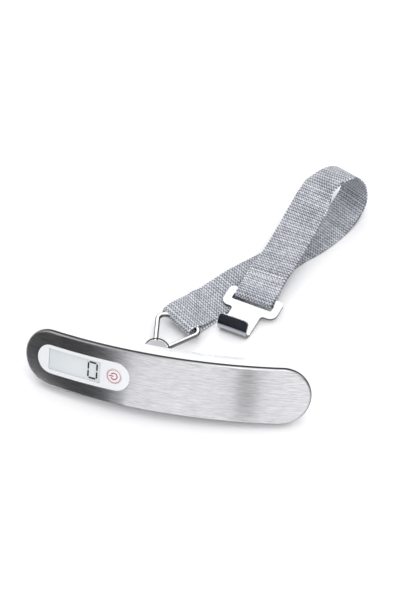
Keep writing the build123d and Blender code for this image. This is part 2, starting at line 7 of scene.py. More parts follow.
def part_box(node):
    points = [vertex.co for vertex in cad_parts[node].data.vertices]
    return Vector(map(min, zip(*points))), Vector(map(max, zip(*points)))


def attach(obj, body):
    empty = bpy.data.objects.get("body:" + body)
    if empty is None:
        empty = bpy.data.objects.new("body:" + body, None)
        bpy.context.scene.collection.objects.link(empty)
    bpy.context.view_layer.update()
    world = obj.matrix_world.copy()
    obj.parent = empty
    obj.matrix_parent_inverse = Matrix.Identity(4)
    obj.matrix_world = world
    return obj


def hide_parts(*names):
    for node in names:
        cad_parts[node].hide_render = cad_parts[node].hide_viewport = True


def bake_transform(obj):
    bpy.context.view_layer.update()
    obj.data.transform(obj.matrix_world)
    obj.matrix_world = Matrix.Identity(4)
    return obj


# A digital luggage scale: brushed front plate, white housing, display and button, pull eye,
# delta ring, webbing strap and sheet hook. Metres, in the frame's own axes.

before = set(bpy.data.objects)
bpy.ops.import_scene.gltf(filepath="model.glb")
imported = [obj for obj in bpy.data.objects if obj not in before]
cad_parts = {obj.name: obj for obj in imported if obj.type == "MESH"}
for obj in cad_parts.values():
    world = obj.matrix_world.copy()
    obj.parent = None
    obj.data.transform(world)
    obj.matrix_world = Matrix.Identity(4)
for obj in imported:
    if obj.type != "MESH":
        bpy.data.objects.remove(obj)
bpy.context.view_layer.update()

# ---------------------------------------------------------------- places
MM = 0.001
HANDLE_Y = -106.82            # the handle's middle, in front of the origin
LEAN = math.radians(19.645)   # the handle leans back by this much
ARCH_RADIUS = 0.227
ACROSS = Vector((0.0, math.sin(LEAN), math.cos(LEAN)))
OUT = Vector((0.0, -math.cos(LEAN), math.sin(LEAN)))


def at(x, y, z):
    """A point from millimetres measured from the handle's middle."""
    return Vector((x * MM, (y + HANDLE_Y) * MM, z * MM))


HOOK_POINT = at(33.2, 105.4, 5.6)
HOOK_HEADING = math.radians(75.0)
HOOK_RISE = math.radians(10.2)


# ---------------------------------------------------------------- material helpers
class Nodes:
    """Builds one node material, a line at a time."""

    def __init__(self, name):
        self.material = bpy.data.materials.new(name)
        self.material.use_nodes = True
        self.tree = self.material.node_tree
        self.tree.nodes.clear()
        self.output = self.tree.nodes.new("ShaderNodeOutputMaterial")
        self.shader = self.tree.nodes.new("ShaderNodeBsdfPrincipled")
        self.tree.links.new(self.shader.outputs[0], self.output.inputs["Surface"])

    def node(self, kind, **settings):
        made = self.tree.nodes.new("ShaderNode" + kind)
        for key, value in settings.items():
            setattr(made, key, value)
        return made

    def link(self, source, target):
        self.tree.links.new(source, target)

    def put(self, socket, value):
        if isinstance(value, bpy.types.NodeSocket):
            self.link(value, socket)
        elif value is not None:
            socket.default_value = value

    def shade(self, **values):
        names = {
            "color": "Base Color", "metallic": "Metallic", "roughness": "Roughness",
            "normal": "Normal", "anisotropic": "Anisotropic", "tangent": "Tangent",
            "sheen": "Sheen Weight", "sheen_roughness": "Sheen Roughness",
            "coat": "Coat Weight", "coat_roughness": "Coat Roughness", "alpha": "Alpha",
            "specular": "Specular IOR Level",
            "glow": "Emission Strength", "glow_color": "Emission Color",
        }
        for key, value in values.items():
            self.put(self.shader.inputs[names[key]], value)
        return self.material

    def place(self):
        return self.node("TexCoord").outputs["Object"]

    def own_normal(self, source=None):
        """The surface's direction in the piece's own axes, so it turns with the piece."""
        if source is None:
            return self.node("TexCoord").outputs["Normal"]
        made = self.node("VectorTransform", vector_type="NORMAL", convert_from="WORLD",
                         convert_to="OBJECT")
        self.link(source, made.inputs[0])
        return made.outputs[0]

    def math(self, kind, a, b=None):
        made = self.node("Math", operation=kind)
        for socket, value in zip(made.inputs, (a, b)):
            self.put(socket, value)
        return made.outputs[0]

    def along(self, direction, point=None):
        made = self.node("VectorMath", operation="DOT_PRODUCT")
        self.link(point or self.place(), made.inputs[0])
        made.inputs[1].default_value = direction
        return made.outputs["Value"]

    def join(self, x, y, z=0.0):
        made = self.node("CombineXYZ")
        for socket, value in zip(made.inputs, (x, y, z)):
            self.put(socket, value)
        return made.outputs[0]

    def noise(self, scale, detail=2.0, roughness=0.5, vector=None, distortion=0.0):
        made = self.node("TexNoise")
        made.inputs["Scale"].default_value = scale
        made.inputs["Detail"].default_value = detail
        made.inputs["Roughness"].default_value = roughness
        made.inputs["Distortion"].default_value = distortion
        self.link(vector or self.place(), made.inputs["Vector"])
        return made.outputs["Fac"]

    def ramp(self, value, stops):
        made = self.node("ValToRGB")
        while len(made.color_ramp.elements) < len(stops):
            made.color_ramp.elements.new(0.5)
        for element, (position, color) in zip(made.color_ramp.elements, stops):
            element.position = position
            element.color = rgba(color)
        self.link(value, made.inputs["Fac"])
        return made.outputs["Color"]

    def span(self, value, low, high, start=0.0, end=1.0):
        made = self.node("MapRange")
        made.inputs["From Min"].default_value = start
        made.inputs["From Max"].default_value = end
        made.inputs["To Min"].default_value = low
        made.inputs["To Max"].default_value = high
        self.link(value, made.inputs["Value"])
        return made.outputs["Result"]

    def mix(self, factor, a, b):
        made = self.node("Mix", data_type="RGBA", blend_type="MIX")
        self.put(made.inputs[0], factor)
        self.put(made.inputs[6], a)
        self.put(made.inputs[7], b)
        return made.outputs[2]

    def bump(self, height, strength, distance, normal=None):
        made = self.node("Bump")
        made.inputs["Strength"].default_value = strength
        made.inputs["Distance"].default_value = distance
        self.link(height, made.inputs["Height"])
        if normal is not None:
            self.link(normal, made.inputs["Normal"])
        return made.outputs["Normal"]

    def soft_edges(self, radius):
        made = self.node("Bevel", samples=4)
        made.inputs["Radius"].default_value = radius
        return made.outputs["Normal"]


def grey(value, tint=(1.0, 1.0, 1.0)):
    return tuple(value * t for t in tint)


def rgba(color):
    return (*color, 1.0)


# ---------------------------------------------------------------- materials
def brushed_plate():
    n = Nodes("brushed_stainless")
    across = n.along(ACROSS)
    lengthwise = n.along((1.0, 0.0, 0.0))
    # long streaks of three widths, laid along the handle
    fine = n.noise(1.0, 3.0, 0.6, n.join(n.math("MULTIPLY", lengthwise, 210.0),
                                         n.math("MULTIPLY", across, 5200.0)))
    middle = n.noise(1.0, 2.0, 0.55, n.join(n.math("MULTIPLY", lengthwise, 130.0),
                                            n.math("MULTIPLY", across, 1900.0)))
    broad = n.noise(1.0, 2.0, 0.5, n.join(n.math("MULTIPLY", lengthwise, 70.0),
                                          n.math("MULTIPLY", across, 800.0)))
    streaks = n.math("ADD", n.math("MULTIPLY", fine, 0.4), n.math("MULTIPLY", middle, 0.4))
    streaks = n.math("ADD", streaks, n.math("MULTIPLY", broad, 0.2))
    color = n.ramp(streaks, [(0.34, grey(0.50, (0.97, 0.98, 1.03))),
                             (0.5, grey(0.74, (0.985, 0.985, 1.01))),
                             (0.66, grey(0.96))])
    # the folded rim faces sideways and is painted near black there: a painted dark reflection
    arch_center = at(0.0, 0.0, 0.0) - OUT * ARCH_RADIUS
    ray_out = n.node("VectorMath", operation="SUBTRACT")
    n.link(n.place(), ray_out.inputs[0])
    ray_out.inputs[1].default_value = arch_center
    flat = n.node("VectorMath", operation="MULTIPLY_ADD")
    n.link(n.math("MULTIPLY", n.along(ACROSS, ray_out.outputs[0]), -1.0), flat.inputs[0])
    flat.inputs[1].default_value = ACROSS
    n.link(ray_out.outputs[0], flat.inputs[2])
    unit = n.node("VectorMath", operation="NORMALIZE")
    n.link(flat.outputs[0], unit.inputs[0])
    facing = n.node("VectorMath", operation="DOT_PRODUCT")
    n.link(unit.outputs[0], facing.inputs[0])
    n.link(n.own_normal(), facing.inputs[1])
    painted_rim_reflection = n.span(facing.outputs["Value"], 1.0, 0.0, 0.45, 0.96)
    # at both ends the fold is wider and rounder, so the painted dark reflection runs a little way onto
    # the face
    turned = n.node("VectorMath", operation="DOT_PRODUCT")
    n.link(unit.outputs[0], turned.inputs[0])
    n.link(n.own_normal(n.soft_edges(0.002)), turned.inputs[1])
    sideways = n.math("ABSOLUTE", n.along((1.0, 0.0, 0.0), unit.outputs[0]))
    ends = n.span(sideways, 0.0, 1.0, 0.30, 0.35)
    painted_fold_reflection = n.math("MULTIPLY", n.span(turned.outputs["Value"], 1.0, 0.0, 0.80, 0.985), ends)
    painted_rim_reflection = n.math("MAXIMUM", painted_rim_reflection, painted_fold_reflection)
    color = n.mix(painted_rim_reflection, color, rgba((0.045, 0.043, 0.046)))
    rough = n.span(streaks, 0.27, 0.38, 0.3, 0.7)
    normal = n.bump(streaks, 0.2, 0.00006, n.soft_edges(0.00015))
    return n.shade(color=color, metallic=1.0, roughness=rough, normal=normal,
                   anisotropic=0.75, tangent=n.join(*ACROSS))


def moulded(name, color, rough=0.3, spread=0.05, grain=0.12, scale=2600.0, coat=0.0, radius=0.0003):
    """Moulded plastic: a fine grain, a slow drift of tone and softened edges."""
    n = Nodes(name)
    drift = n.noise(38.0, 3.0, 0.55)
    pores = n.noise(scale, 2.0, 0.6)
    dark = tuple(c * (1.0 - spread) for c in color)
    light = tuple(min(1.0, c * (1.0 + spread * 0.5)) for c in color)
    tone = n.ramp(drift, [(0.3, dark), (0.55, color), (0.75, light)])
    gloss = n.span(n.noise(220.0, 3.0), rough * 0.85, rough * 1.2, 0.3, 0.7)
    normal = n.bump(pores, grain, 0.00003, n.soft_edges(radius))
    return n.shade(color=tone, roughness=gloss, normal=normal, coat=coat, coat_roughness=0.12)


def metal(name, color, rough=0.2, scratch=0.2, direction=None, radius=0.0001, aniso=0.0):
    """Bare metal with drifting polish and fine handling marks."""
    n = Nodes(name)
    drift = n.noise(90.0, 3.0, 0.6)
    if direction is None:
        marks = n.noise(1400.0, 4.0, 0.7, distortion=0.6)
    else:
        d = Vector(direction).normalized()
        side = d.cross(Vector((0, 0, 1)))
        side = side.normalized() if side.length > 0.1 else Vector((1, 0, 0))
        up = side.cross(d)
        marks = n.noise(1.0, 3.0, 0.6, n.join(
            n.math("MULTIPLY", n.along(d), 120.0),
            n.math("MULTIPLY", n.along(side), 4500.0),
            n.math("MULTIPLY", n.along(up), 4500.0)))
    dark = tuple(c * 0.82 for c in color)
    light = tuple(min(1, c * 1.06) for c in color)
    tone = n.ramp(drift, [(0.3, dark), (0.6, color), (0.8, light)])
    gloss = n.span(marks, rough * 0.7, rough * 1.5, 0.3, 0.7)
    normal = n.bump(marks, scratch, 0.00002, n.soft_edges(radius))
    return n.shade(color=tone, metallic=1.0, roughness=gloss, normal=normal, anisotropic=aniso)


def webbing(name, light, dark):
    """Woven webbing: staggered warp floats in rows across the strap, from its own length map."""
    n = Nodes(name)
    uv = n.node("UVMap", uv_map="length").outputs[0]
    parts = n.node("SeparateXYZ")
    n.link(uv, parts.inputs[0])
    u, v = parts.outputs[0], parts.outputs[1]      # centimetres along and across
    yarn_pitch, float_length = 0.098, 0.215
    column = n.math("MULTIPLY", v, 1.0 / yarn_pitch)
    index = n.math("FLOOR", column)
    stagger = n.math("MULTIPLY", n.math("MODULO", index, 2.0), 0.28)
    uneven = n.math("MULTIPLY", n.math("SUBTRACT", n.noise(4.0, 2.0, 0.5, uv), 0.5), 0.05)
    row = n.math("ADD", n.math("MULTIPLY", n.math("ADD", u, uneven), 1.0 / float_length), stagger)
    across = n.math("FRACT", column)
    along = n.math("FRACT", row)

    def hump(fraction, power):
        wave = n.math("SINE", n.math("MULTIPLY", fraction, math.pi))
        return n.math("POWER", n.math("MAXIMUM", wave, 0.0), power)

    height = n.math("MULTIPLY", hump(across, 0.7), hump(along, 0.9))
    cell = n.node("TexWhiteNoise", noise_dimensions="2D")
    n.link(n.join(index, n.math("FLOOR", row)), cell.inputs["Vector"])
    yarn = cell.outputs["Value"]
    rows = n.node("TexWhiteNoise", noise_dimensions="1D")
    n.link(n.math("FLOOR", row), rows.inputs["W"])
    slow = n.noise(0.8, 3.0, 0.6, uv)
    fibre = n.noise(1.0, 3.0, 0.7, n.join(n.math("MULTIPLY", u, 9.0), n.math("MULTIPLY", v, 120.0)))
    # yarn tops lighter and the gaps between yarns darker: painted shade in the gaps, with random yarn,
    # row and fibre tone added
    shade = n.math("MULTIPLY", height, 0.82)
    for drift, amount in ((yarn, 0.20), (rows.outputs["Value"], 0.16), (slow, 0.35), (fibre, 0.25)):
        shade = n.math("ADD", shade, n.math("MULTIPLY", n.math("SUBTRACT", drift, 0.5), amount))
    middle = tuple(a * 0.45 + b * 0.55 for a, b in zip(light, dark))
    color = n.ramp(shade, [(0.08, dark), (0.42, middle), (0.78, light)])
    tall = n.math("ADD", height, n.math("MULTIPLY", fibre, 0.18))
    normal = n.bump(tall, 0.8, 0.0003)
    rough = n.span(height, 0.75, 0.45)
    return n.shade(color=color, roughness=rough, normal=normal, sheen=0.12, sheen_roughness=0.45)


def thread(name, color):
    n = Nodes(name)
    twist = n.noise(5200.0, 2.0, 0.6)
    tone = n.ramp(twist, [(0.3, tuple(c * 0.75 for c in color)), (0.7, color)])
    return n.shade(color=tone, roughness=0.6, normal=n.bump(twist, 0.5, 0.0001), sheen=0.2)


def display_face():
    """The grey of the display, drifting in tone along its length, with fine specks."""
    n = Nodes("display_grey")
    slope = n.along((1.0, 0.0, 0.0))
    tone = n.ramp(n.span(slope, 0.0, 1.0, -0.071, -0.036),
                  [(0.0, (0.68, 0.72, 0.745)), (0.55, (0.76, 0.79, 0.81)),
                   (1.0, (0.70, 0.73, 0.75))])
    speck = n.noise(3500.0, 2.0, 0.6)
    tone = n.mix(n.span(speck, 0.0, 0.12), tone, rgba((0.55, 0.58, 0.60)))
    return n.shade(color=tone, roughness=0.35, normal=n.bump(speck, 0.05, 0.00002))


def clear_window():
    n = Nodes("clear_window")
    wave = n.noise(60.0, 2.0)
    smudge = n.noise(240.0, 4.0, 0.65)
    return n.shade(color=rgba((0.9, 0.94, 0.93)), roughness=n.span(smudge, 0.03, 0.14, 0.35, 0.75),
                   alpha=0.02, normal=n.bump(wave, 0.03, 0.0002), specular=0.3)


def ring_wire():
    """Polished wire, with a painted highlight along its crown and painted shade round its sides."""
    n = Nodes("ring_chrome")
    crown_highlight = n.along((0.0, 0.0, 1.0), n.own_normal())
    # painted highlight on the crown, painted dark reflection bands round the sides
    tone = n.ramp(n.span(crown_highlight, 0.0, 1.0, -1.0, 1.0), [
        (0.0, (0.2, 0.2, 0.21)), (0.55, (0.26, 0.255, 0.255)), (0.76, (0.08, 0.075, 0.075)),
        (0.89, (0.16, 0.155, 0.155)), (0.955, (0.85, 0.85, 0.87)), (1.0, (0.95, 0.95, 0.96))])
    marks = n.noise(1500.0, 4.0, 0.7, distortion=0.6)
    tone = n.mix(n.span(marks, 0.0, 0.25, 0.4, 0.7), tone, rgba((0.3, 0.3, 0.31)))
    return n.shade(color=tone, metallic=1.0, roughness=n.span(marks, 0.07, 0.2, 0.3, 0.7),
                   normal=n.bump(marks, 0.1, 0.00002))


def hook_sheet():
    """Bright plated sheet whose cut edges carry painted shade, darker than its faces."""
    n = Nodes("hook_plate")
    side = Vector((math.sin(HOOK_HEADING), -math.cos(HOOK_HEADING), 0.0))
    ahead = Vector((math.cos(HOOK_HEADING) * math.cos(HOOK_RISE),
                    math.sin(HOOK_HEADING) * math.cos(HOOK_RISE), math.sin(HOOK_RISE)))
    head_end, lip_start = -0.0145, -0.02       # along the hook from its bar
    normal = n.own_normal()
    sideways = n.math("ABSOLUTE", n.along(side, normal))
    # the head's front and back edges, not the roll
    along = n.math("SUBTRACT", n.along(ahead), ahead.dot(HOOK_POINT))
    on_head = n.math("GREATER_THAN", along, head_end)
    endways = n.math("MULTIPLY", n.math("ABSOLUTE", n.along(ahead, normal)), on_head)
    painted_edge_shade = n.span(n.math("MAXIMUM", sideways, endways), 0.0, 1.0, 0.45, 0.75)
    drift = n.noise(90.0, 3.0, 0.6)
    marks = n.noise(1.0, 3.0, 0.6, n.join(n.math("MULTIPLY", n.along(ahead), 220.0),
                                          n.math("MULTIPLY", n.along(side), 3200.0)))
    face = n.ramp(drift, [(0.3, (0.87, 0.875, 0.89)), (0.7, (0.96, 0.96, 0.965))])
    # the rolled lip's outside is painted as dark as it looks in the photograph: a painted dark
    # reflection on its face and a painted highlight along its bend
    upward = n.along(ahead.cross(side) * -1.0, normal)
    roll = n.ramp(n.span(upward, 0.0, 1.0, -1.0, 1.0), [
        (0.0, (0.10, 0.105, 0.12)), (0.3, (0.34, 0.35, 0.385)), (0.55, (0.50, 0.515, 0.56)),
        (0.68, (0.30, 0.31, 0.345)), (0.74, (0.035, 0.035, 0.045)), (1.0, (0.05, 0.05, 0.06))])
    outside = n.math("MULTIPLY", n.math("LESS_THAN", n.along(ahead, normal), -0.12),
                     n.math("LESS_THAN", along, lip_start))
    color = n.mix(outside, face, roll)
    # the cut edges are painted dark: painted shade along the outline
    color = n.mix(painted_edge_shade, color, rgba((0.13, 0.12, 0.115)))
    gloss = n.span(marks, 0.10, 0.2, 0.3, 0.7)
    return n.shade(color=color, metallic=1.0, roughness=gloss,
                   normal=n.bump(marks, 0.06, 0.00002, n.soft_edges(0.0002)))


finish = {
    "front_plate": brushed_plate(),
    "rear_housing": moulded("white_housing", (0.86, 0.87, 0.885), 0.3, 0.03, 0.1, radius=0.0004),
    "battery_cap": moulded("white_cap", (0.83, 0.84, 0.855), 0.36, 0.03, 0.15),
    "chassis": moulded("inner_white", (0.76, 0.77, 0.79), 0.5, 0.04, 0.2, 1800.0),
    "display_bezel": moulded("white_inlay", (0.85, 0.86, 0.88), 0.18, 0.02, 0.05, coat=0.4),
    "power_button": moulded("white_button", (0.84, 0.85, 0.87), 0.22, 0.02, 0.06, coat=0.3),
    "button_marks": moulded("red_print", (0.48, 0.008, 0.02), 0.4, 0.12, 0.1, radius=0.00005),
    # the boss is white plastic painted grey: painted shade for the shadow it sits in
    "pull_boss": moulded("boss_painted_shade_grey", (0.44, 0.445, 0.47), 0.3, 0.05, 0.12),
    "boss_collar": moulded("black_collar", (0.018, 0.018, 0.02), 0.5, 0.3, 0.35, 1500.0),
    "display_lens": clear_window(),
    "lcd_glass": display_face(),
    "lcd_digit": moulded("segment_black", (0.004, 0.005, 0.006), 0.6, 0.2, 0.05, radius=0.00003),
    "lcd_connector": moulded("zebra_rubber", (0.16, 0.16, 0.17), 0.6, 0.4, 0.3, 900.0),
    "circuit_board": moulded("solder_mask", (0.012, 0.13, 0.06), 0.28, 0.35, 0.3, 700.0, coat=0.3),
    "controller_chip": moulded("chip_epoxy", (0.02, 0.02, 0.022), 0.55, 0.2, 0.35, 1500.0),
    "button_dome": metal("dome_steel", (0.78, 0.76, 0.7), 0.22),
    "load_cell": metal("cell_alloy", (0.76, 0.77, 0.79), 0.3, 0.4, (1, 0, 0), aniso=0.4),
    "strain_gauges": moulded("gauge_film", (0.55, 0.28, 0.05), 0.25, 0.35, 0.2, 1600.0, coat=0.5),
    "cell_screws": metal("zinc_screw", (0.66, 0.66, 0.7), 0.3, 0.35),
    "housing_screws": metal("zinc_screw_outer", (0.6, 0.6, 0.64), 0.32, 0.4),
    "stud_nut": metal("zinc_nut", (0.64, 0.64, 0.68), 0.34, 0.4),
    "stud_washer": metal("zinc_washer", (0.62, 0.62, 0.66), 0.36, 0.4),
    "pull_eye": metal("eye_steel", (0.5, 0.5, 0.53), 0.24, 0.3),
    "coin_battery": metal("cell_can", (0.74, 0.74, 0.75), 0.28, 0.3),
    "battery_contacts": metal("contact_plate", (0.86, 0.74, 0.5), 0.3, 0.3),
    "sensor_leads": moulded("white_lead", (0.72, 0.72, 0.74), 0.45, 0.1, 0.2),
    "battery_leads": moulded("red_lead", (0.5, 0.02, 0.02), 0.45, 0.15, 0.2),
    "delta_ring": ring_wire(),
    "strap_hook": hook_sheet(),
}
for name, material in finish.items():
    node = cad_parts[name]
    if not node.material_slots:
        node.data.materials.append(material)
    for place in node.material_slots:
        place.material = material

strap_cloth = webbing("grey_webbing", (0.74, 0.765, 0.82), (0.085, 0.093, 0.115))
seam_thread = thread("pale_thread", (0.97, 0.98, 1.0))


# ---------------------------------------------------------------- boss gasket
def gasket(name, middle, axis, profile, body, material):
    """A ring of the given (radius, reach along the axis) profile, turned round the axis."""
    side = Vector((1.0, 0.0, 0.0))
    upper = axis.cross(side).normalized()
    mesh = bpy.data.meshes.new(name)
    turns, verts, faces = 72, [], []
    for i in range(turns):
        angle = 2 * math.pi * i / turns
        outward = side * math.cos(angle) + upper * math.sin(angle)
        for radius, reach_along in profile:
            verts.append(tuple(middle + outward * (radius * MM) + axis * (reach_along * MM)))
    size = len(profile)
    for i in range(turns):
        for j in range(size):
            a, b = i * size + j, i * size + (j + 1) % size
            c, d = ((i + 1) % turns) * size + (j + 1) % size, ((i + 1) % turns) * size + j
            faces.append((a, d, c, b))
    mesh.from_pydata(verts, [], faces)
    for poly in mesh.polygons:
        poly.use_smooth = True
    mesh.materials.append(material)
    piece = bpy.data.objects.new(name, mesh)
    bpy.context.scene.collection.objects.link(piece)
    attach(piece, body)


collar_low, collar_high = (Vector(corner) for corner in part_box("boss_collar"))
collar_middle = (collar_low + collar_high) / 2
gasket_profile = [(7.5, -0.85), (8.0, -1.25), (8.16, -1.15), (8.24, -0.75), (8.16, -0.35),
                  (7.9, -0.2), (7.5, -0.3)]
gasket("boss_gasket", collar_middle, -OUT, gasket_profile, "handle", finish["boss_collar"])

# ---------------------------------------------------------------- webbing
STRAP_THICK = 1.25
EDGE_THIN = 0.82              # the tape's faces draw in a little at its edges
UV_SCALE = 0.1                # the length map is in centimetres
UV_SHIFT = 10.4               # keeps the map clear of zero across the tape


def smooth_chain(points, closed_step=0.7):
    """A smooth line through the points (Catmull-Rom), as evenly spaced samples of the
    points' own numbers; the first three are a place in millimetres."""
    dense = []
    count = len(points)
    for i in range(count - 1):
        p0 = points[max(i - 1, 0)]
        p1, p2 = points[i], points[i + 1]
        p3 = points[min(i + 2, count - 1)]
        gap = max(1e-6, math.dist(p1[:3], p2[:3]))
        before = max(1e-6, math.dist(p0[:3], p1[:3])) if i else gap
        after = max(1e-6, math.dist(p2[:3], p3[:3])) if i < count - 2 else gap
        steps = max(6, int(gap / 0.35))
        for k in range(steps):
            t = k / steps
            row = []
            for a, b, c, d in zip(p0, p1, p2, p3):
                m1 = ((b - a) / before * 0.5 + (c - b) / gap * 0.5) * gap if i else (c - b)
                m2 = (c - b) if i >= count - 2 else ((c - b) / gap * 0.5 + (d - c) / after * 0.5) * gap
                h = (2 * t**3 - 3 * t**2 + 1) * b + (t**3 - 2 * t**2 + t) * m1
                row.append(h + (-2 * t**3 + 3 * t**2) * c + (t**3 - t**2) * m2)
            dense.append(row)
    dense.append(list(points[-1]))
    run = [0.0]
    for a, b in zip(dense, dense[1:]):
        run.append(run[-1] + math.dist(a[:3], b[:3]))
    total = run[-1]
    wanted = max(2, round(total / closed_step))
    out, j = [], 0
    for k in range(wanted + 1):
        s = total * k / wanted
        while j < len(run) - 2 and run[j + 1] < s:
            j += 1
        t = (s - run[j]) / max(1e-9, run[j + 1] - run[j])
        out.append(([a + (b - a) * t for a, b in zip(dense[j], dense[j + 1])], s))
    return out


def ribbon(name, stations, start_length=0.0):
    """Webbing through stations of (x, y, z, heading of its width, tilt of its width, width)."""
    rows = smooth_chain(stations)
    centers = [at(*row[:3]) for row, _ in rows]
    sides = []
    for row, _ in rows:
        heading, tilt = math.radians(row[3]), math.radians(row[4])
        sides.append(Vector((math.cos(heading) * math.cos(tilt),
                             math.sin(heading) * math.cos(tilt), math.sin(tilt))))
    half = STRAP_THICK * MM / 2
    profile = []
    flat = 12
    for k in range(flat + 1):
        profile.append((-1 + 2 * k / flat, 0))
    for k in range(1, 4):
        profile.append((1, k * math.pi / 4))
    for k in range(flat + 1):
        profile.append((1 - 2 * k / flat, math.pi))
    for k in range(1, 4):
        profile.append((-1, math.pi + k * math.pi / 4))
    verts = []
    count = len(centers)
    for i, (c, side) in enumerate(zip(centers, sides)):
        ahead = centers[min(i + 1, count - 1)] - centers[max(i - 1, 0)]
        ahead.normalize()
        up = side.cross(ahead).normalized()
        wide = rows[i][0][5] * MM / 2 - half
        ring = []
        for v, angle in profile:
            if v == 1 and 0 < angle < math.pi:
                offset = side * (wide + half * math.sin(angle)) + up * (half * math.cos(angle))
            elif v == -1 and angle > math.pi:
                offset = side * (-wide - half * math.sin(angle - math.pi))
                offset = offset - up * (half * math.cos(angle - math.pi))
            else:
                thin = EDGE_THIN if abs(v) == 1 else 1.0
                offset = side * (wide * v) + up * ((half if angle == 0 else -half) * thin)
            ring.append(c + offset)
        verts.append(ring)
    ring_size = len(profile)
    mesh = bpy.data.meshes.new(name)
    faces = []
    for i in range(count - 1):
        for j in range(ring_size):
            k = (j + 1) % ring_size
            a = i * ring_size
            faces.append((a + j, a + k, a + ring_size + k, a + ring_size + j))
    faces.append(tuple(range(ring_size))[::-1])
    last = (count - 1) * ring_size
    faces.append(tuple(last + j for j in range(ring_size)))
    mesh.from_pydata([tuple(p) for ring in verts for p in ring], [], faces)
    uv = mesh.uv_layers.new(name="length")
    position = []
    for i in range(count):
        wide = rows[i][0][5] / 2
        for v, _ in profile:
            position.append(((start_length + rows[i][1]) * UV_SCALE, v * wide * UV_SCALE + UV_SHIFT))
    for poly in mesh.polygons:
        poly.use_smooth = len(poly.vertices) == 4
        for loop_index in poly.loop_indices:
            uv.data[loop_index].uv = position[mesh.loops[loop_index].vertex_index]
    mesh.materials.append(strap_cloth)
    piece = bpy.data.objects.new(name, mesh)
    bpy.context.scene.collection.objects.link(piece)
    return piece, rows, centers, sides


# Stations of the strap: place of its middle, heading and tilt of its width, width.
# The lower strap starts at its sewn tail, goes round the ring's bar and lies on the surface
# as far as the loop; the loop turns over and the upper strap comes back to the hook.
# Several of these places were fitted to the photograph.
RING_WAY = math.radians(59.1)
RING_BAR = (-5.7, 73.5, 6.3)


def beside_bar(reach, height, turn, roll, width=25.0, slip=0.0):
    """A station behind the ring's bar, by its reach along the strap and its height."""
    return (
        RING_BAR[0] + reach * math.cos(RING_WAY) + slip * math.sin(RING_WAY),
        RING_BAR[1] + reach * math.sin(RING_WAY) - slip * math.cos(RING_WAY),
        height, turn, roll, width,
    )


lower_stations = [
    beside_bar(24.5, 2.45, -31, -8, 24.4, -0.8),
    beside_bar(19.0, 2.5, -31, -8, 24.4, -0.8),
    beside_bar(12.5, 2.9, -32, -7, 24.2, -0.6),
    beside_bar(6.0, 3.3, -34, -5, 23.8, -0.4),
    beside_bar(1.0, 3.6, -35, -4, 23.4, -0.4),
    beside_bar(-2.2, 4.4, -36, -4, 24.0, -1.3),
    beside_bar(-3.3, 6.3, -36, -4, 24.2, -1.6),
    beside_bar(-2.2, 8.0, -36, -4, 24.2, -1.6),
    beside_bar(1.0, 8.6, -35, -5, 24.4, -1.5),
    beside_bar(6.0, 7.6, -34, -8, 24.8, -1.5),
    beside_bar(12.5, 5.8, -32.5, -11, 25.0, -1.4),
    beside_bar(18.5, 4.4, -31.5, -12, 25.0, -1.7),
    beside_bar(23.5, 4.05, -31, -11.5, 25.0, -1.9),
    beside_bar(28.5, 3.0, -31, -10, 25.0, -1.9),
    beside_bar(34.0, 2.75, -31, -9.5, 25.0, -1.9),
    beside_bar(44.0, 2.85, -31, -10, 25.0, -1.6),
    beside_bar(54.0, 2.9, -31, -10, 25.0, -1.2),
    beside_bar(66.0, 2.3, -31, -7, 25.0, -0.6),
    beside_bar(79.0, 1.3, -31, -3, 25.0, -0.2),
    beside_bar(93.0, 0.78, -31, 0, 25.0),
    (53.8, 169.6, 0.75, -31, 0, 25.0),
    (60.5, 181.2, 0.9, -33.5, 0, 25.0),
    (66.3, 193.3, 1.6, -36.5, 0.5, 25.0),
    (71.2, 205.2, 4.2, -39, 3.5, 25.4),
    (73.6, 214.2, 10.5, -41, 7.0, 25.6),
    (71.4, 214.6, 21.5, -41, 9.5, 26.0),
    (67.7, 210.2, 27.4, -38.5, 12.5, 25.6),
    (63.6, 205.4, 29.7, -34.0, 13.2, 24.4),
    (59.1, 200.6, 29.2, -30, 12.0, 23.4),
]
upper_stations = [
    (59.1, 200.6, 29.2, -30, 12.0, 23.4),
    (56.6, 197.3, 28.1, -27.5, 8.8, 22.8),
    (54.2, 194.0, 26.6, -25, 5.0, 22.4),
    (52.2, 185.6, 23.3, -21, 0.0, 23.6),
    (49.5, 173.9, 19.2, -18.4, 0.6, 25.0),
    (46.2, 161.5, 15.4, -16.2, 2.4, 25.0),
    (43.1, 148.6, 12.5, -14.2, 2.8, 25.0),
    (39.9, 135.7, 10.3, -13.6, 2.4, 25.0),
    (37.0, 124.6, 9.0, -13.8, 1.4, 25.0),
    (35.0, 116.2, 6.8, -14.4, 0.4, 25.0),
    (34.0, 111.6, 4.2, -15, 0.0, 25.0),
    (33.3, 107.4, 3.35, -15.4, 0.0, 25.0),
    (32.4, 103.4, 3.35, -15.8, 0.0, 25.0),
    (31.9, 101.6, 5.6, -16.2, 0.0, 25.0),
    (32.4, 103.4, 7.8, -15.8, 0.0, 25.0),
    (33.2, 107.2, 8.0, -15.4, 0.0, 25.0),
    (34.2, 112.0, 8.0, -15, 0.0, 25.0),
    (35.2, 117.4, 8.9, -14.4, 0.6, 25.0),
    (37.0, 124.8, 10.9, -13.8, 1.4, 24.8),
    (37.9, 128.4, 11.7, -13.8, 1.4, 24.6),
]

strap_low, low_rows, low_centers, low_sides = ribbon("strap_lower_webbing", lower_stations)
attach(strap_low, "strap_lower")
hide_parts("strap_ring_leg", "strap_loop")

strap_up, up_rows, up_centers, up_sides = ribbon(
    "strap_upper_webbing", upper_stations, start_length=low_rows[-1][1]
)
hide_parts("strap_hook_leg")
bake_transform(strap_up)

SEAM_WIDTH = 22.0
SEAM_LIFT = 0.00075
SEAM_ROW_GAP = 4              # samples of the ribbon between the two rows
STITCH_RADIUS = 0.00038
TAIL_SAMPLES = 14             # from the upper ribbon's end back to its seam


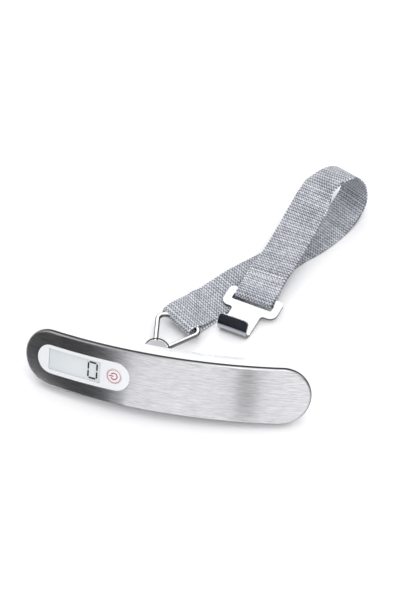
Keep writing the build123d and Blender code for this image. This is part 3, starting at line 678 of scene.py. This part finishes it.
def seam(name, centers, sides, where, body):
    """Two rows of stitches laid across the webbing at a place along it."""
    mesh = bpy.data.meshes.new(name)
    verts, faces = [], []
    for offset in (0, SEAM_ROW_GAP):
        i = where + offset
        c, side = centers[i], sides[i]
        ahead = (centers[i + 1] - centers[i - 1]).normalized()
        up = side.cross(ahead).normalized()
        count = 11
        for k in range(count):
            v0 = (-0.5 + (k + 0.14) / count) * SEAM_WIDTH * MM
            v1 = (-0.5 + (k + 0.86) / count) * SEAM_WIDTH * MM
            steps, around = 6, 6
            base = len(verts)
            for a in range(steps + 1):
                t = a / steps
                rise = SEAM_LIFT + 0.00012 * math.sin(math.pi * t) - 0.0002 * abs(2 * t - 1) ** 4
                middle = c + side * (v0 + (v1 - v0) * t) + up * rise
                for b in range(around):
                    angle = 2 * math.pi * b / around
                    outward = up * math.sin(angle) + ahead * math.cos(angle)
                    verts.append(middle + outward * STITCH_RADIUS)
            for a in range(steps):
                for b in range(around):
                    j = (b + 1) % around
                    faces.append((base + a * around + b, base + a * around + j,
                                  base + (a + 1) * around + j, base + (a + 1) * around + b))
            faces.append(tuple(base + b for b in range(around)))
            faces.append(tuple(base + steps * around + b for b in range(around))[::-1])
    mesh.from_pydata([tuple(p) for p in verts], [], faces)
    for poly in mesh.polygons:
        poly.use_smooth = True
    mesh.materials.append(seam_thread)
    piece = bpy.data.objects.new(name, mesh)
    bpy.context.scene.collection.objects.link(piece)
    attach(piece, body)


def nearest(centers, point):
    target = at(*point)
    return min(range(len(centers)), key=lambda i: (centers[i] - target).length)


seam("ring_seam", low_centers, low_sides,
     nearest(low_centers, beside_bar(21.5, 2.1, 0, 0)[:3]), "strap_lower")
seam("hook_seam", up_centers, up_sides, len(up_centers) - TAIL_SAMPLES, "strap_upper")

# ---------------------------------------------------------------- studio
# camera at the photograph's angle, as fitted to it
CAMERA_DISTANCE = 1.3
look = at(-0.566, 100.831, 0.0)
toward = Vector((0.1727, -0.7228, 0.6691)).normalized()
right = Vector((0.9726, 0.2324, 0.0)).normalized()
above = toward.cross(right).normalized()
lens = bpy.data.cameras.new("camera")
lens.sensor_fit = "HORIZONTAL"
lens.sensor_width = 36.0
lens.lens = 191.3
lens.clip_start = 0.05
lens.clip_end = 20.0
camera = bpy.data.objects.new("camera", lens)
turn = Matrix((right, above, toward)).transposed().to_4x4()
camera.matrix_world = Matrix.Translation(look + toward * CAMERA_DISTANCE) @ turn
bpy.context.scene.collection.objects.link(camera)
bpy.context.scene.camera = camera

# floor
floor_mesh = bpy.data.meshes.new("floor")
reach = 3.0
floor_mesh.from_pydata(
    [(-reach, -reach, 0), (reach, -reach, 0), (reach, reach, 0), (-reach, reach, 0)],
    [], [(0, 1, 2, 3)]
)
floor = bpy.data.objects.new("floor", floor_mesh)
bpy.context.scene.collection.objects.link(floor)
paper = Nodes("pale_paper")
tooth = paper.noise(900.0, 2.0)
paper.shade(color=paper.ramp(tooth, [(0.3, (0.90, 0.90, 0.905)), (0.7, (0.915, 0.915, 0.92))]),
            roughness=0.9, normal=paper.bump(tooth, 0.03, 0.0001), specular=0.1)
floor_mesh.materials.append(paper.material)


def card(name, corners, tone):
    """A dark or light card seen only in reflections."""
    mesh = bpy.data.meshes.new(name)
    mesh.from_pydata(corners, [], [(0, 1, 2, 3)])
    made = bpy.data.objects.new(name, mesh)
    bpy.context.scene.collection.objects.link(made)
    paint = Nodes(name + "_paint")
    paint.shade(color=rgba(grey(0.0)), roughness=1.0, specular=0.0, glow=1.0,
                glow_color=rgba(grey(tone, (0.97, 0.98, 1.03))))
    mesh.materials.append(paint.material)
    made.visible_camera = False
    made.visible_diffuse = False
    made.visible_shadow = False
    made.visible_transmission = False
    made.visible_volume_scatter = False


def on_floor(start, direction, distance):
    """The x and y of a place on the floor, this far from the start."""
    d = Vector(direction).normalized()
    return start[0] + d.x * distance, start[1] + d.y * distance


# a dark floor card and a dark wall to the front left, and a grey strip to the front right
LEFT_X = -1.9
BACK_Y = 1.5
edge_from = at(-31.0, -5.0, 0.0)
inner = on_floor(edge_from, (-0.43, -0.90, 0), 0.001)
outer = on_floor(edge_from, (-0.43, -0.90, 0), 0.9)
card("dark_floor_card", [
    (*inner, 0.0006), (*outer, 0.0006), (LEFT_X, outer[1], 0.0006),
    (LEFT_X, inner[1] + 0.12, 0.0006)], 0.012)
card("dark_wall_card", [
    (*outer, 0.0), (LEFT_X, outer[1], 0.0), (LEFT_X, outer[1], 1.1), (*outer, 1.1)], 0.03)
card("dark_side_card", [
    (LEFT_X, outer[1], 0.0), (LEFT_X, 0.25, 0.0), (LEFT_X, 0.25, 0.9), (LEFT_X, outer[1], 0.9)],
    0.05)
half_from = at(-21.0, -3.0, 0.0)
half_near = on_floor(half_from, (-0.37, -0.93, 0), 0.001)
half_far = on_floor(half_from, (-0.37, -0.93, 0), 0.9)
card("half_floor_card", [
    (*half_near, 0.0004), (*half_far, 0.0004),
    (outer[0] - 0.05, outer[1], 0.0004), (inner[0] - 0.01, inner[1], 0.0004)], 0.34)
strip_a = at(44.0, -5.0, 0.0)
strip_b = at(60.0, -5.0, 0.0)
a0, a1 = (on_floor(strip_a, (0.215, -0.976, 0), distance) for distance in (0.04, 1.0))
b0, b1 = (on_floor(strip_b, (0.275, -0.962, 0), distance) for distance in (0.04, 1.0))
card("grey_floor_strip", [(*a0, 0.0005), (*a1, 0.0005), (*b1, 0.0005), (*b0, 0.0005)], 0.02)
card("grey_wall_strip", [(*a1, 0.0), (*b1, 0.0), (*b1, 0.8), (*a1, 0.8)], 0.05)
# dark bands behind and to the right, low, for the wire and the edges that face away
card("dark_back_band", [
    (-1.6, BACK_Y, 0.02), (1.6, BACK_Y, 0.02), (1.6, BACK_Y, 0.5), (-1.6, BACK_Y, 0.5)], 0.06)
card("dark_right_band", [
    (1.5, -0.5, 0.0), (1.5, BACK_Y, 0.0), (1.5, BACK_Y, 0.45), (1.5, -0.5, 0.45)], 0.06)


def panel(name, place, target, size, power, color=(1, 1, 1)):
    """A soft rectangular light at a place, aimed at the target."""
    data = bpy.data.lights.new(name, "AREA")
    data.shape = "RECTANGLE"
    data.size, data.size_y = size
    data.energy = power
    data.color = color
    lamp = bpy.data.objects.new(name, data)
    lamp.location = place
    lamp.rotation_euler = (Vector(target) - Vector(place)).to_track_quat("-Z", "Y").to_euler()
    bpy.context.scene.collection.objects.link(lamp)


panel("key_softbox", (0.5, -0.5, 1.7), (0, 0, 0), (1.3, 1.3), 9.0, (1.0, 0.995, 0.985))
panel("back_softbox", (-0.5, 1.3, 1.3), (0, 0.05, 0), (1.4, 0.9), 5.0, (0.985, 0.99, 1.0))
panel("side_softbox", (1.5, 0.2, 0.8), (0, 0, 0), (0.8, 0.9), 2.5)

world = bpy.data.worlds.new("studio")
world.use_nodes = True
tree = world.node_tree
tree.nodes.clear()
coordinate = tree.nodes.new("ShaderNodeTexCoord")
split = tree.nodes.new("ShaderNodeSeparateXYZ")
tree.links.new(coordinate.outputs["Generated"], split.inputs[0])
fade = tree.nodes.new("ShaderNodeValToRGB")
stops = [(0.0, 0.75), (0.06, 0.55), (0.3, 0.8), (0.75, 1.0)]
while len(fade.color_ramp.elements) < len(stops):
    fade.color_ramp.elements.new(0.5)
for element, (position, tone) in zip(fade.color_ramp.elements, stops):
    element.position = position
    element.color = (tone, tone, tone * 1.01, 1.0)
tree.links.new(split.outputs["Z"], fade.inputs[0])
sky = tree.nodes.new("ShaderNodeBackground")
sky.inputs["Strength"].default_value = 1.04
tree.links.new(fade.outputs[0], sky.inputs["Color"])
out = tree.nodes.new("ShaderNodeOutputWorld")
tree.links.new(sky.outputs[0], out.inputs["Surface"])
bpy.context.scene.world = world
bpy.context.scene.view_settings.view_transform = "Standard"
